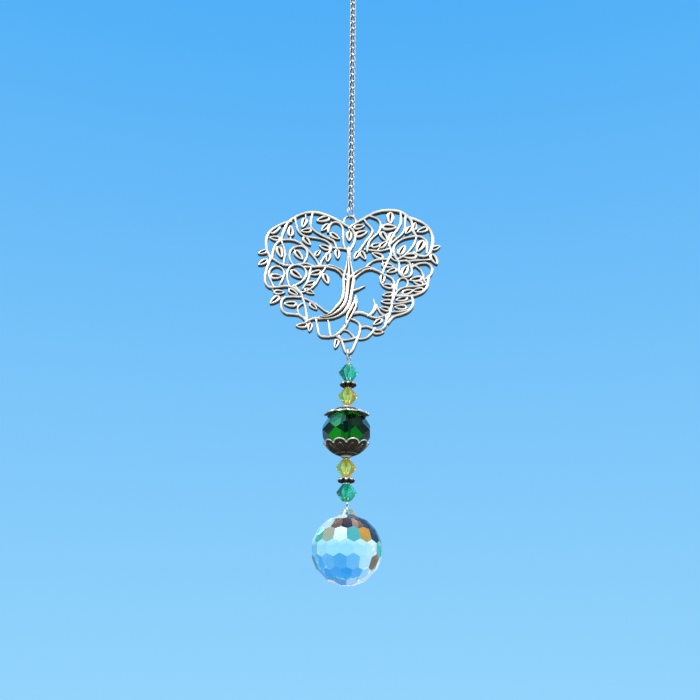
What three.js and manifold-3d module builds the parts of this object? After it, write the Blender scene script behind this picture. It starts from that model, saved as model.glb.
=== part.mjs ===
// A hanging crystal suncatcher: ring, curb chain, cast tree-of-life heart, beads on an eye pin, crystal.
// Millimetres, +Z up, front towards -Y. The origin is where the hook bears, inside the hanging ring's top.
import * as THREE from 'three';
import { mergeVertices } from 'three/addons/utils/BufferGeometryUtils.js';
import { ConvexGeometry } from 'three/addons/geometries/ConvexGeometry.js';
import Module from 'manifold-3d';

const wasm = await Module();
wasm.setup();

// ---------------------------------------------------------------- driving dimensions
const RING_INNER = 8;            // inner diameter of the hanging ring
const RING_WIRE = 0.55;
const LINK_COUNT = 33;
const LINK_WIRE = 0.6;
const LINK_PITCH = 2.68;
const LINK_HALF_WIDTH = 0.85;    // of the link's wire centre
const LINK_TWIST = Math.PI / 4;  // each end of a curb link is turned this far, one way and the other
const SLACK = 0.1;               // play between two wires that hang in each other
const JUMP_WIRE = 0.5;
const JUMP_RADIUS = 2.0;         // wire centre
const JUMP_TURN = 1.05;          // the jump ring hangs turned this far from facing the front

const HEART_HEIGHT = 44.9;       // from the tip's foot up to the middle of the heart's eye
const HEART_SHIFT = -0.1;        // the tip's strand hangs just left of the pin
const EYE = { x: -0.1, inner: 1.55, outer: 2.4, thick: 1.1, play: 0.2 };
const BACK = 0.95;               // the casting's flat back
const VINE_FRONT = 0.95;
const TRUNK_FRONT = 1.15;
const BARK_FRONT = 1.5;
const VINE_STEP = Math.PI / 4;   // turn between two faces along a vine
const HEART_EASE = 0.05;         // corners that shape less than this are dropped
const LEAF_BREADTH = 0.54;       // of a leaf's length
const LEAF_RIM = 0.75;
const LEAF_VEIN = 0.3;

const PIN_WIRE = 0.72;
const PIN_BOW = 0.55;            // how far the pin bends to the left under its beads
const BEAD_GAP = 0.3;            // room left between pieces threaded on the pin
const BORE = 1.4;                // across the corners of a bead's bore
const BICONE = { width: 6, height: 5.1, flat: 2.5 };
const SPACER = { radius: 2.15, bump: 0.45, half: 0.85, petals: 8 };
const ROUND_BEAD = 14;
const CAP = { gap: 0.28, wall: 0.36, neck: 1.3, collar: 0.5, scallops: 10 };
const CAP_ABOVE = { low: 46, high: 53, flare: 0.9 };  // degrees down to its edge, and how far that stands off
const CAP_BELOW = { low: 54, high: 65, flare: 0 };
const CRYSTAL = 20;
const NECK = { foot: 2.6, top: 1.45, half: 0.9, height: 2.0, bore: 1.3, below: 1.15 };

// ---------------------------------------------------------------- small helpers
const rad = (degrees) => degrees * Math.PI / 180;

function onlyPosition(geometry) {
  const bare = geometry.index ? geometry.toNonIndexed() : geometry.clone();
  for (const name of Object.keys(bare.attributes)) {
    if (name !== 'position') bare.deleteAttribute(name);
  }
  return mergeVertices(bare, 1e-4);
}

function toSolid(geometry) {
  const bare = onlyPosition(geometry);
  const vertProperties = new Float32Array(bare.attributes.position.array);
  const triVerts = new Uint32Array(bare.index.array);
  return new wasm.Manifold(new wasm.Mesh({ numProp: 3, vertProperties, triVerts }));
}

function toGeometry(solid) {
  const mesh = solid.getMesh();
  const geometry = new THREE.BufferGeometry();
  geometry.setAttribute('position', new THREE.BufferAttribute(mesh.vertProperties, 3));
  geometry.setIndex(new THREE.BufferAttribute(mesh.triVerts, 1));
  return geometry;
}

function joinAll(solids) {
  let round = solids;
  while (round.length > 1) {
    const next = [];
    for (let i = 0; i < round.length; i += 2) {
      next.push(i + 1 < round.length ? round[i].add(round[i + 1]) : round[i]);
    }
    round = next;
  }
  return round[0];
}

// A body that closes on itself all round: ringOf(i) gives the i-th ring of points, all of one length.
function gridBody(ringCount, ringOf) {
  const rings = [];
  for (let i = 0; i < ringCount; i += 1) rings.push(ringOf(i));
  const sides = rings[0].length;
  const position = rings.flat().flatMap((p) => [p.x, p.y, p.z]);
  const index = [];
  for (let i = 0; i < ringCount; i += 1) {
    for (let j = 0; j < sides; j += 1) {
      const a = i * sides + j;
      const b = i * sides + (j + 1) % sides;
      const c = ((i + 1) % ringCount) * sides + j;
      const d = ((i + 1) % ringCount) * sides + (j + 1) % sides;
      index.push(a, b, d, a, d, c);
    }
  }
  const geometry = new THREE.BufferGeometry();
  geometry.setAttribute('position', new THREE.Float32BufferAttribute(position, 3));
  geometry.setIndex(index);
  return geometry;
}

class LoopCurve extends THREE.Curve {
  constructor(pointAt) {
    super();
    this.pointAt = pointAt;
  }

  getPoint(t, target = new THREE.Vector3()) {
    return target.copy(this.pointAt(t * 2 * Math.PI));
  }
}

const wireLoop = (pointAt, wire, steps, sides) => (
  new THREE.TubeGeometry(new LoopCurve(pointAt), steps, wire / 2, sides, true)
);

function polygon(radius, sides) {
  const shape = new THREE.Shape();
  for (let i = 0; i < sides; i += 1) {
    const angle = (i / sides) * 2 * Math.PI;
    const place = [radius * Math.cos(angle), radius * Math.sin(angle)];
    if (i === 0) shape.moveTo(...place);
    else shape.lineTo(...place);
  }
  return shape;
}

// ---------------------------------------------------------------- heights along the hanging line
const ringCentre = -RING_INNER / 2;
const ringFoot = -RING_INNER - RING_WIRE / 2;
const linkHalf = (LINK_PITCH + LINK_WIRE + SLACK) / 2;
const firstLink = ringFoot + (RING_WIRE + LINK_WIRE) / 2 + SLACK - linkHalf;
const lastLink = firstLink - (LINK_COUNT - 1) * LINK_PITCH;
const jumpCentre = lastLink - linkHalf + (LINK_WIRE + JUMP_WIRE) / 2 + SLACK - JUMP_RADIUS;
const heartTip = jumpCentre - JUMP_RADIUS + JUMP_WIRE / 2 + EYE.play - EYE.inner - HEART_HEIGHT;
const upperEye = { centre: heartTip - 0.05, radius: 1.75 };
const shankTop = upperEye.centre - upperEye.radius;

// ---------------------------------------------------------------- hanging ring, chain, jump ring
function hangingRing() {
  const radius = (RING_INNER + RING_WIRE) / 2;
  const turn = 3 * Math.PI / 4;
  return wireLoop((t) => new THREE.Vector3(
    radius * Math.cos(t) * Math.cos(turn),
    radius * Math.cos(t) * Math.sin(turn),
    ringCentre + radius * Math.sin(t),
  ), RING_WIRE, 24, 5);
}

function curbLink() {
  return wireLoop((t) => {
    const turn = LINK_TWIST * Math.sin(t);
    const out = LINK_HALF_WIDTH * Math.cos(t);
    return new THREE.Vector3(out * Math.cos(turn), out * Math.sin(turn), linkHalf * Math.sin(t));
  }, LINK_WIRE, 9, 4);
}

function jumpRing() {
  return wireLoop((t) => new THREE.Vector3(
    JUMP_RADIUS * Math.cos(t) * Math.cos(JUMP_TURN),
    JUMP_RADIUS * Math.cos(t) * Math.sin(JUMP_TURN),
    jumpCentre + JUMP_RADIUS * Math.sin(t),
  ), JUMP_WIRE, 16, 4);
}

// ---------------------------------------------------------------- the heart's growth
// The heart is drawn in its own frame: x to the right and z up from its tip.
// A vine is [width, [x, z, heading], ...]: it runs through each place at that heading in degrees, in arcs.
// A fourth number is the width at that place, for a vine that swells or tapers.
const RIM = [
  [1.1, [0.2, 42.5, 150], [-6.4, 46.3, 155], [-12.4, 47.9, 180], [-18.1, 46, 218], [-20.8, 43, 250],
    [-22.2, 38, 265]],
  [1.1, [-19.3, 44.6, 185], [-24.3, 42.3, 212], [-27, 38, 268], [-26.7, 34.6, 285], [-25.3, 31.2, 278]],
  [1.05, [-25.3, 31.8, 262], [-26.6, 27.5, 258], [-26.8, 23.8, 283], [-24.7, 21.5, 357],
    [-20.3, 22.1, 2], [-16.8, 21, 325], [-15, 19.2, 310]],
  [1.0, [-14.9, 18.4, 180], [-19.6, 18.4, 190], [-21.5, 16, 270], [-19.3, 12.8, 350], [-15.8, 12.5, 345],
    [-13.3, 10.4, 318]],
  [1.1, [-0.2, 42.5, 45], [2.6, 44.8, 28], [7.9, 48, 22], [12.7, 48.9, 0], [17, 48, -30],
    [19.8, 45.4, -62], [20.3, 42.2, -80], [21.4, 39.8, -50]],
  [1.1, [18.6, 46.6, -20], [23.4, 44.6, -28], [26.1, 41.6, -65], [26.6, 38, -92], [25.9, 34.6, -108],
    [23.4, 32.8, 180], [20.8, 34, 140]],
  [1.0, [20.2, 29.2, 45], [24, 30.5, 0], [26.3, 28.2, -90], [24.5, 25.2, -140]],
  [1.05, [25.3, 26.2, -115], [24.7, 22.8, -108], [22.2, 20, -155], [19, 19.1, 180], [13.9, 19.4, 170]],
  [1.05, [19.7, 19.2, -75], [20, 16.4, -102], [18, 13.7, -150], [14.8, 12.6, -165], [12.3, 10.2, -122]],
];
const TRUNK = [
  [1.2, [-0.3, 35.4, 270], [-0.3, 29.5, 270, 1.9], [-0.2, 25.2, 268, 4.1], [-0.6, 19.5, 262, 3.9],
    [-2.7, 14.4, 228, 4], [-6.9, 11.7, 190, 1.8], [-11.3, 11.3, 185, 1.2], [-13.7, 9.9, 205, 0.9]],
  [0.5, [2.1, 19.2, 262], [1.6, 15.6, 252, 2.3], [0, 12.4, 238, 2.3], [-0.7, 10.2, 262, 1.4],
    [-1.9, 7.8, 228, 1.2], [-4.8, 5.6, 195, 1.2], [-8.1, 5.3, 172, 1], [-9.7, 7.2, 95, 0.9],
    [-10.3, 10.9, 100, 0.9]],
  [2.4, [-0.9, 24.6, 120], [-4.5, 28.3, 160, 1.5], [-8.9, 29, 182, 1.3], [-14.3, 28.7, 170, 1]],
  [2.4, [0.6, 24.6, 60], [4.2, 27.8, 28, 1.6], [7.3, 28.3, -8, 1.2], [10.5, 26.6, -32, 1]],
  [1.6, [0.6, 20.4, 22], [4.8, 22.3, 25, 0.5]],
];
const BARK = [
  [0.9, [-0.7, 31, 270, 0.7], [-1.5, 25, 268, 1], [-1.5, 20.5, 262, 1], [-3.5, 15.4, 228, 1],
    [-6.9, 12, 195, 0.7]],
  [0.8, [0.1, 30, 275, 0.6], [1, 25.4, 268, 1], [0.7, 20.4, 260, 1], [-1.2, 15.4, 236, 1],
    [-4.4, 12.1, 205, 0.7]],
];
const CROWN_LEFT = [
  [0.9, [-12.2, 47.6, 258], [-12.9, 43.5, 278], [-10.7, 40.7, 325], [-5.7, 38.1, 335], [-4.2, 35, 290]],
  [0.9, [-17.8, 45.8, 272], [-17, 41.8, 290], [-13.5, 39.1, 350], [-8.1, 38, 332], [-6, 35.2, 262],
    [-8.3, 32, 232], [-9.5, 29.2, 260]],
  [0.95, [-24.8, 31.8, 92], [-23.1, 37.2, 42], [-19.3, 38.1, -3], [-14.8, 36, -45], [-10.7, 31.2, -55],
    [-9.7, 29.2, -70]],
  [0.9, [-25.3, 31.8, -30], [-20.4, 29.1, -8], [-14.8, 29.9, 10], [-11.5, 29, -20]],
  [0.85, [-18.1, 29.4, 130], [-19.3, 33.4, 82], [-16.3, 35.9, 5], [-13.6, 33.2, -90],
    [-14.8, 29.8, -120]],
  [0.8, [-21.2, 29.2, 95], [-20.7, 33, 88], [-22.1, 37.8, 112]],
  [0.9, [-7.2, 41, 85], [-4.8, 44.5, 0], [-2.3, 41.6, -90], [-2.1, 37, -88], [-0.5, 34.2, -55]],
  [0.95, [-0.3, 33.6, 75], [1.7, 39.2, 92], [0.1, 42.6, 140]],
  [0.9, [-0.4, 34.8, 165], [-4.4, 35.3, 182], [-6.1, 35.6, 175]],
  [0.85, [-24, 21.6, 95], [-25.7, 25.6, 98], [-23.3, 28.8, 0], [-20.8, 26.2, -90], [-22.2, 22.2, -110]],
  [0.85, [-19.2, 22, 105], [-19.9, 26.6, 85], [-16.8, 29.4, 0], [-13.8, 26.6, -90], [-15.4, 23.4, -140],
    [-17.8, 22, -150]],
  [1, [-17.4, 22.4, -50], [-15.1, 19.2, -68], [-13.7, 14.5, -80], [-13.3, 10.4, -92]],
  [0.7, [-14.3, 16.4, 200], [-16.3, 14.5, 262], [-15.7, 12.6, 290]],
  [0.8, [-14.8, 18.2, -22], [-10.8, 16.3, -30], [-8, 14.1, -40], [-5.7, 13.1, -5], [-3.1, 13.7, 20]],
  [0.8, [-7.7, 28.6, -115], [-9.7, 24.9, -108], [-11.5, 21.9, -135], [-15.2, 20, -175]],
  [0.8, [-12.3, 28.6, -112], [-12.8, 25.3, -98], [-14.8, 21.2, -120]],
];
const CROWN_RIGHT = [
  [0.9, [4.4, 45.8, -70], [6.5, 43, -48], [7.2, 41.1, -100], [5.1, 37.9, -122], [2.8, 34, -120]],
  [0.9, [5.9, 46.9, -15], [8.5, 46, -30], [9.9, 43.4, -92], [8.8, 40.6, -130], [6.1, 37.6, -108],
    [5.5, 34.4, -85]],
  [0.95, [16.4, 48, -88], [16.4, 44.4, -95], [14.2, 40.6, -118], [12.6, 37, -105], [13.3, 34.4, -82],
    [12.3, 31.4, -108], [10.9, 28.2, -112], [10.2, 26.4, -120]],
  [0.9, [18, 47, -92], [17.7, 42.6, -95], [16, 39.8, -135], [12.5, 36.4, -130]],
  [0.95, [24.5, 34, 92], [24.8, 37.4, 95], [22.4, 39.7, 165], [18.4, 39.3, 192], [14.3, 36.4, 240],
    [14.1, 33.7, 280], [15.7, 30.8, 302], [15.6, 27.8, 275], [17.7, 25.6, -5], [19.8, 27.3, 85],
    [19, 30.6, 115], [15.8, 31, 180]],
  [0.85, [21.5, 39.8, -105], [20, 36, -125], [17.4, 33, -142], [15.2, 31.6, -150]],
  [0.85, [18.4, 30.9, 10], [21.8, 31.4, 0], [25.7, 31.7, 5]],
  [0.85, [20.1, 30, -40], [22.7, 28, -62], [23.5, 25.2, -95], [24.4, 23.4, -60]],
  [0.9, [4.8, 28.3, 55], [7.3, 30.9, 30], [12.1, 31.6, 0]],
  [0.9, [4.8, 35, -20], [8.7, 34.5, -8], [12.7, 35.4, 25]],
  [1, [10.1, 26.6, -15], [13.1, 25.4, -35], [14.2, 22.8, -92], [13.7, 18.5, -95], [13.1, 14.5, -102],
    [11.9, 11, -110]],
  [0.9, [13.6, 17, 80], [15, 20.6, 52], [18, 22.3, 12], [21.4, 22.4, 5], [24.4, 23.6, 40]],
  [0.8, [15, 20.8, 128], [15.3, 23.8, 80], [17, 25.2, 0], [18.5, 23.8, -85], [18.1, 22.2, -110]],
  [0.8, [13.4, 16.3, 5], [17, 16.8, 10], [19.8, 17.6, 20]],
  [0.75, [12.9, 13.6, 15], [16.2, 13.9, 2], [19.2, 14.9, 30]],
  [0.8, [8.7, 16, -82], [9.6, 13.7, -60], [12.3, 12.2, -10]],
];
const ROOTS = [
  [1.6, [1.4, 13.2, 20], [4.2, 13.3, -10, 1.2], [7.1, 12, -22, 1], [9.2, 11.8, 15, 0.9],
    [12.3, 13.2, 30, 0.9]],
  [1, [3.4, 8.4, 25], [6.1, 8.8, -15], [8.8, 7.7, 0], [11.3, 9.3, 72], [11.5, 12.4, 108]],
  [1, [0.8, 11.2, -15], [3.4, 9.2, -80], [3.1, 6.2, -108], [1.8, 2.7, -112], [-0.3, 0, 180]],
  [1, [6, 12.4, 30], [8.1, 15.1, 80, 1.4], [7.6, 18, 106, 0.3]],
  [0.9, [2.8, 4.8, -10], [6.1, 5.6, 38], [8.1, 8.4, 62]],
  [1, [-3, 5.6, -55], [-1.8, 2.7, -76], [-0.1, 0, -10]],
  [0.9, [-3.8, 5.6, -48], [-1.2, 4.3, 0], [2.7, 5.4, 20]],
  [0.8, [-3.4, 6.2, 40], [-1.2, 7.6, -5], [1.8, 5, -52]],
  [0.8, [-6.7, 11.3, -80], [-6.2, 8, -90], [-5.7, 5.4, -80]],
];
// A leaf is [x, z, lean, length]: its middle, the lean of its midrib in degrees, and its length.
const LEAVES = [
  [-24.2, 38.6, -8, 3.9], [-24.2, 41.6, 36, 4.4], [-19.2, 41.2, -88, 4.3], [-15, 44.2, 75, 4.1],
  [-14.1, 41.4, 8, 3.9], [-8.7, 45.6, 18, 5], [-13.9, 37.8, -52, 4.2], [-22.5, 33.8, -72, 4.5],
  [-16.4, 32.9, -52, 4.5], [-27.9, 33.7, 20, 3.5], [-27.7, 30.2, 32, 3.9], [-8.1, 42.6, 45, 3.9],
  [-4.9, 39.6, -35, 4.1], [-8.1, 35.6, -20, 4.1], [-7, 32.2, -95, 3.9], [-10.3, 33.6, -130, 3.2],
  [-0.3, 39.6, -90, 4.1], [-4, 33.3, -85, 3.9], [-23.3, 25.4, 0, 4.3], [-17, 26.2, -38, 4.8],
  [-10.8, 26.7, 15, 4.3], [-7.5, 24.8, -68, 4.3], [-12.5, 23.1, 18, 3.9], [-12.7, 20.4, -28, 3.7],
  [-17.8, 20.1, -30, 3.9], [-18.5, 16.1, 0, 4.5], [-22.2, 20, 0, 3.9], [-23.5, 17.4, 42, 4.3],
  [-11.3, 15.4, -42, 3.5], [-14.7, 9, 6, 4.1], [2.2, 33, 60, 3.7], [4.2, 33, -60, 3.9],
  [2.9, 43, 12, 4.1], [3.6, 40.6, 22, 4.8], [12.6, 43, 0, 5.2], [13, 46.2, 90, 4.8],
  [11, 39.6, -58, 4.5], [13.2, 39.6, 62, 3.9], [10.7, 36.8, 42, 3.9], [8.5, 36.6, 18, 3.9],
  [8.9, 33, -24, 4.3], [14.1, 32, -50, 3.2], [16.7, 35, 60, 4.5], [19.2, 32.9, 4, 5.2],
  [22.6, 36.4, 60, 5.4], [18.9, 42, 55, 3.9], [23.4, 42.1, 22, 4.3], [27.6, 35.9, 22, 3.5],
  [27, 31.9, -62, 4.5], [17.7, 28.1, 62, 4.5], [21.1, 25, 12, 4.5], [21.8, 23.7, -20, 3.9],
  [12.1, 29.6, -12, 4.3], [13.5, 27.8, 22, 3.7], [10.4, 24.8, -98, 3.9], [12.1, 22.5, -10, 4.1],
  [12.1, 19.6, 10, 3.7], [11.8, 17.2, 0, 3.9], [11.2, 14.8, -14, 3.7], [18.4, 20.6, 20, 4.3],
  [21.8, 21.2, 8, 4.1], [16.6, 18.2, 15, 4.3], [16.2, 15.4, 0, 4.3], [9.1, 7.1, 0, 3.9],
  [9, 10.4, 35, 3.8], [-12.2, 8.4, 84, 3.4], [-3.9, 3.1, 78, 3.6], [21, 43.4, 85, 3.2],
];

// One stretch of a vine from place to place, an arc drawn as a cubic curve.
function stretch(from, to) {
  const start = new THREE.Vector2(from[0], from[1]);
  const end = new THREE.Vector2(to[0], to[1]);
  const turn = rad(((to[2] - from[2] + 540) % 360) - 180);
  const handle = start.distanceTo(end) / (3 * Math.cos(turn / 4) ** 2);
  const heading = (degrees, length) => new THREE.Vector2(Math.cos(rad(degrees)), Math.sin(rad(degrees)))
    .multiplyScalar(length);
  const curve = new THREE.CubicBezierCurve(
    start,
    start.clone().add(heading(from[2], handle)),
    end.clone().sub(heading(to[2], handle)),
    end,
  );
  return { curve, steps: Math.max(1, Math.round(Math.abs(turn) / VINE_STEP)) };
}

// The vine's places with their widths, a point at each step of turn.
function vinePoints([width, ...places]) {
  const points = [];
  for (let i = 0; i + 1 < places.length; i += 1) {
    const { curve, steps } = stretch(places[i], places[i + 1]);
    const widthFrom = places[i][3] ?? width;
    const widthTo = places[i + 1][3] ?? width;
    for (let s = i === 0 ? 0 : 1; s <= steps; s += 1) {
      const t = s / steps;
      points.push({
        at: curve.getPoint(t),
        along: curve.getTangent(t),
        half: (widthFrom + (widthTo - widthFrom) * t) / 2,
      });
    }
  }
  return points;
}

// A plate standing on the casting's back plane and reaching the given front.
function plate(shape, front) {
  const geometry = new THREE.ExtrudeGeometry(shape, { depth: BACK + front, bevelEnabled: false });
  geometry.rotateX(Math.PI / 2);
  geometry.translate(0, BACK, 0);
  return toSolid(geometry);
}

function vine(spec, front) {
  const points = vinePoints(spec);
  const side = (p, sign) => new THREE.Vector2(
    p.at.x - sign * p.along.y * p.half,
    p.at.y + sign * p.along.x * p.half,
  );
  const end = (p, sign) => p.at.clone().addScaledVector(p.along, sign * p.half * 0.8);
  const right = points.map((p) => side(p, -1));
  const left = points.map((p) => side(p, 1)).reverse();
  const outline = [end(points[0], -1), ...right, end(points[points.length - 1], 1), ...left];
  return plate(new THREE.Shape(outline), front);
}

// The nearest place on any vine, where a leaf's stalk grows from.
function nearestOn(vines, from) {
  let best = null;
  for (const spec of vines) {
    for (const { at } of vinePoints(spec)) {
      if (!best || at.distanceTo(from) < best.distanceTo(from)) best = at;
    }
  }
  return best;
}

// A leaf is a plate whose front falls from its rim to its vein, and whose tail reaches the nearest vine.
function leaf([x, z, lean, length], vines) {
  const middle = new THREE.Vector2(x, z);
  const axis = new THREE.Vector2(Math.cos(rad(lean)), Math.sin(rad(lean)));
  const tips = [-1, 1].map((way) => middle.clone().addScaledVector(axis, way * length / 2));
  const roots = tips.map((tip) => nearestOn(vines, tip));
  const reach = tips.map((tip, i) => tip.distanceTo(roots[i]));
  const tailFirst = reach[0] <= reach[1];
  const along = axis.multiplyScalar(tailFirst ? 1 : -1);
  const across = new THREE.Vector2(-along.y, along.x);
  const spot = (u, v) => middle.clone()
    .addScaledVector(along, u * length / 2)
    .addScaledVector(across, v * length * LEAF_BREADTH / 2);
  const sides = [[-0.5, -0.9], [0.35, -1], [1, 0], [0.35, 1], [-0.5, 0.9]].map(([u, v]) => spot(u, v));
  const outline = [roots[tailFirst ? 0 : 1], ...sides];
  const vein = [spot(-0.6, 0), spot(0.55, 0)];
  const points = [
    ...outline.map((p) => [p.x, -LEAF_RIM, p.y]),
    ...outline.map((p) => [p.x, BACK, p.y]),
    ...vein.map((p) => [p.x, -LEAF_VEIN, p.y]),
  ];
  const index = [];
  for (let i = 0; i < 6; i += 1) {
    const j = (i + 1) % 6;
    index.push(i, i + 6, j + 6, i, j + 6, j);
  }
  for (let i = 1; i < 5; i += 1) index.push(6, 6 + i + 1, 6 + i);
  const [tail, head] = [12, 13];
  index.push(0, 1, tail, 1, 2, head, 1, head, tail, 2, 3, head);
  index.push(3, 4, head, 4, 5, tail, 4, tail, head, 5, 0, tail);
  const geometry = new THREE.BufferGeometry();
  geometry.setAttribute('position', new THREE.Float32BufferAttribute(points.flat(), 3));
  geometry.setIndex(index);
  return toSolid(geometry);
}

function heartEye() {
  const ring = new THREE.Shape().absarc(0, 0, EYE.outer, 0, 2 * Math.PI);
  ring.holes.push(new THREE.Path().absarc(0, 0, EYE.inner, 0, 2 * Math.PI));
  const settings = { depth: EYE.thick, bevelEnabled: false, curveSegments: 9 };
  const geometry = new THREE.ExtrudeGeometry(ring, settings);
  geometry.rotateX(Math.PI / 2);
  geometry.translate(EYE.x, EYE.thick / 2, HEART_HEIGHT);
  return toSolid(geometry);
}

function treeHeart() {
  const strands = [...RIM, ...CROWN_LEFT, ...CROWN_RIGHT, ...ROOTS];
  const solids = [
    ...strands.map((spec) => vine(spec, VINE_FRONT)),
    ...TRUNK.map((spec) => vine(spec, TRUNK_FRONT)),
    ...BARK.map((spec) => vine(spec, BARK_FRONT)),
    ...LEAVES.map((spec) => leaf(spec, [...strands, ...TRUNK])),
    heartEye(),
  ];
  const geometry = toGeometry(joinAll(solids).asOriginal().simplify(HEART_EASE));
  geometry.translate(HEART_SHIFT, 0, heartTip);
  return geometry;
}

// ---------------------------------------------------------------- beads on the pin
const stack = {};
let level = shankTop - 1.75;
for (const [name, height] of [
  ['tealUpper', BICONE.height], ['spacerUpper', 2 * SPACER.half], ['yellowUpper', BICONE.height],
  ['roundBead', ROUND_BEAD + 2 * (CAP.gap + CAP.wall + CAP.collar)],
  ['yellowLower', BICONE.height], ['spacerLower', 2 * SPACER.half], ['tealLower', BICONE.height],
]) {
  stack[name] = level - height / 2;
  level -= height + BEAD_GAP;
}
const neckTop = level - 2;
const crystalCentre = neckTop - NECK.height - CRYSTAL / 2 + 0.35;

// The pin hangs in a slight bow, which is deepest under the round bead.
function bow(height) {
  const share = (shankTop - height) / (shankTop - neckTop);
  return -PIN_BOW * Math.sin(Math.PI * share ** 1.4);
}

function bicone(centre) {
  const half = BICONE.height / 2;
  const [inner, end, girdle] = [BORE / 2, BICONE.flat / 2, BICONE.width / 2];
  const profile = [[inner, -half], [end, -half], [girdle, -0.25], [girdle, 0.25], [end, half], [inner, half],
    [inner, -half]].map(([r, y]) => new THREE.Vector2(r, y));
  const geometry = new THREE.LatheGeometry(profile, 6);
  geometry.rotateX(Math.PI / 2);
  geometry.rotateZ(Math.PI / 6);
  geometry.translate(bow(centre), 0, centre);
  return geometry;
}

function daisySpacer(centre) {
  const around = 2 * SPACER.petals;
  const section = [[-1, 0], [-0.4, 1], [0.5, 0.9], [1, 0], [0.5, -0.9], [-0.4, -1]];
  const inner = BORE / 2;
  const geometry = gridBody(around, (i) => {
    const angle = (i / around) * 2 * Math.PI;
    const outer = SPACER.radius + (i % 2 === 0 ? SPACER.bump : -SPACER.bump);
    return section.map(([u, v]) => {
      const r = inner + (outer - inner) * (u + 1) / 2;
      return new THREE.Vector3(r * Math.cos(angle), r * Math.sin(angle), centre + v * SPACER.half);
    });
  });
  geometry.translate(bow(centre), 0, 0);
  return geometry;
}

// A ball cut with flat facets. A row is [latitude, facets round it, offset, depth as a share of the radius].
function facetedBall(radius, rows) {
  const touch = [];
  for (const [latitude, count, offset, depth] of rows) {
    for (let i = 0; i < count; i += 1) {
      const a = ((i + offset) / count) * 2 * Math.PI;
      const c = Math.cos(rad(latitude));
      const out = new THREE.Vector3(c * Math.cos(a), c * Math.sin(a), Math.sin(rad(latitude)));
      touch.push(out.divideScalar(depth));
    }
  }
  const hull = new ConvexGeometry(touch).attributes.position;
  const corners = new Map();
  for (let i = 0; i < hull.count; i += 3) {
    const [p, q, s] = [0, 1, 2].map((k) => new THREE.Vector3().fromBufferAttribute(hull, i + k));
    const plane = new THREE.Plane().setFromCoplanarPoints(p, q, s);
    const corner = plane.normal.clone().multiplyScalar(radius / -plane.constant);
    corners.set(corner.toArray().map((v) => v.toFixed(3)).join(), corner);
  }
  return new ConvexGeometry([...corners.values()]);
}

function bore(radius, length, sides) {
  return new THREE.CylinderGeometry(radius, radius, length, sides);
}

function greenBead() {
  const rows = [[90, 1, 0, 0.9], [58, 8, 0.5, 0.91], [30, 8, 0, 0.95], [0, 8, 0.5, 1.02],
    [-30, 8, 0, 0.95], [-58, 8, 0.5, 0.91], [-90, 1, 0, 0.9]];
  const ball = facetedBall(ROUND_BEAD / 2, rows);
  ball.rotateZ(0.35);
  const hole = bore(BORE / 2, 2 * ROUND_BEAD, 8).rotateX(Math.PI / 2);
  const geometry = toGeometry(toSolid(ball).subtract(toSolid(hole)));
  geometry.translate(bow(stack.roundBead), 0, stack.roundBead);
  return geometry;
}

// A bead cap is a shell round the bead from its collar to a scalloped edge; side is 1 above and -1 below.
function beadCap(side, { low, high, flare }) {
  const around = 2 * CAP.scallops;
  const inside = ROUND_BEAD / 2 + CAP.gap;
  const outside = inside + CAP.wall;
  const geometry = gridBody(around, (i) => {
    const angle = (i / around) * 2 * Math.PI;
    const edge = rad(i % 2 === 0 ? high : low);
    const start = Math.asin(BORE / 2 / inside);
    const neck = Math.asin(CAP.neck / outside);
    const ring = [[inside, start], [inside, edge * 0.36], [inside, edge * 0.7], [inside, edge],
      [outside, edge], [outside, edge / 2], [outside, neck]];
    const points = ring.map(([r, polar]) => {
      const reach = r + flare * (polar / rad(high)) ** 3;
      return [reach * Math.sin(polar), reach * Math.cos(polar)];
    });
    points.push([BORE / 2, outside + CAP.collar]);
    return points.reverse().map(([r, h]) => new THREE.Vector3(r * Math.cos(angle), r * Math.sin(angle), h));
  });
  if (side < 0) geometry.rotateX(Math.PI);
  geometry.translate(bow(stack.roundBead), 0, stack.roundBead);
  return geometry;
}

// ---------------------------------------------------------------- crystal ball
function crystalBall() {
  const rows = [[90, 1, 0, 1], [67.5, 8, 0.5, 1], [45, 16, 0, 1], [22.5, 16, 0.5, 1], [0, 16, 0, 1],
    [-22.5, 16, 0.5, 1], [-45, 16, 0, 1], [-67.5, 8, 0.5, 1], [-90, 1, 0, 1]];
  const ball = facetedBall(CRYSTAL / 2, rows);
  ball.translate(0, 0, crystalCentre);
  const neck = new THREE.CylinderGeometry(NECK.top, NECK.foot, NECK.height, 10);
  neck.rotateX(Math.PI / 2);
  neck.scale(1, NECK.half / NECK.top, 1);
  neck.translate(0, 0, neckTop - NECK.height / 2);
  const hole = bore(NECK.bore / 2, CRYSTAL, 8);
  hole.translate(0, 0, neckTop - NECK.below);
  return toGeometry(toSolid(ball).add(toSolid(neck)).subtract(toSolid(hole)));
}

// ---------------------------------------------------------------- eye pin
// One wire: a round eye through the heart's tip, a straight shank, and a bail through the crystal's neck.
function eyePin() {
  const { centre, radius } = upperEye;
  const eye = [];
  for (let i = 0; i <= 11; i += 1) {
    const turn = rad(-62 + i * 27);
    const drift = 0.2 - 0.07 * i;
    eye.push(new THREE.Vector3(drift, radius * Math.cos(turn), centre + radius * Math.sin(turn)));
  }
  const hole = neckTop - NECK.below;
  const bail = [[0, 2.75], [0.75, 2.1], [1.5, 1.3], [1.45, 0.35], [0.85, 0], [-0.85, 0], [-1.45, 0.35],
    [-1.5, 1.3], [-0.95, 2]].map(([y, z]) => new THREE.Vector3(0, -y, hole + z));
  const shank = [shankTop - 0.9, ...Object.values(stack)].map((z) => new THREE.Vector3(bow(z), 0, z));
  const path = new THREE.CatmullRomCurve3([...eye, ...shank, ...bail], false, 'centripetal');
  return new THREE.ExtrudeGeometry(polygon(PIN_WIRE / 2, 5), {
    steps: 60,
    extrudePath: path,
    bevelEnabled: false,
  });
}

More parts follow.
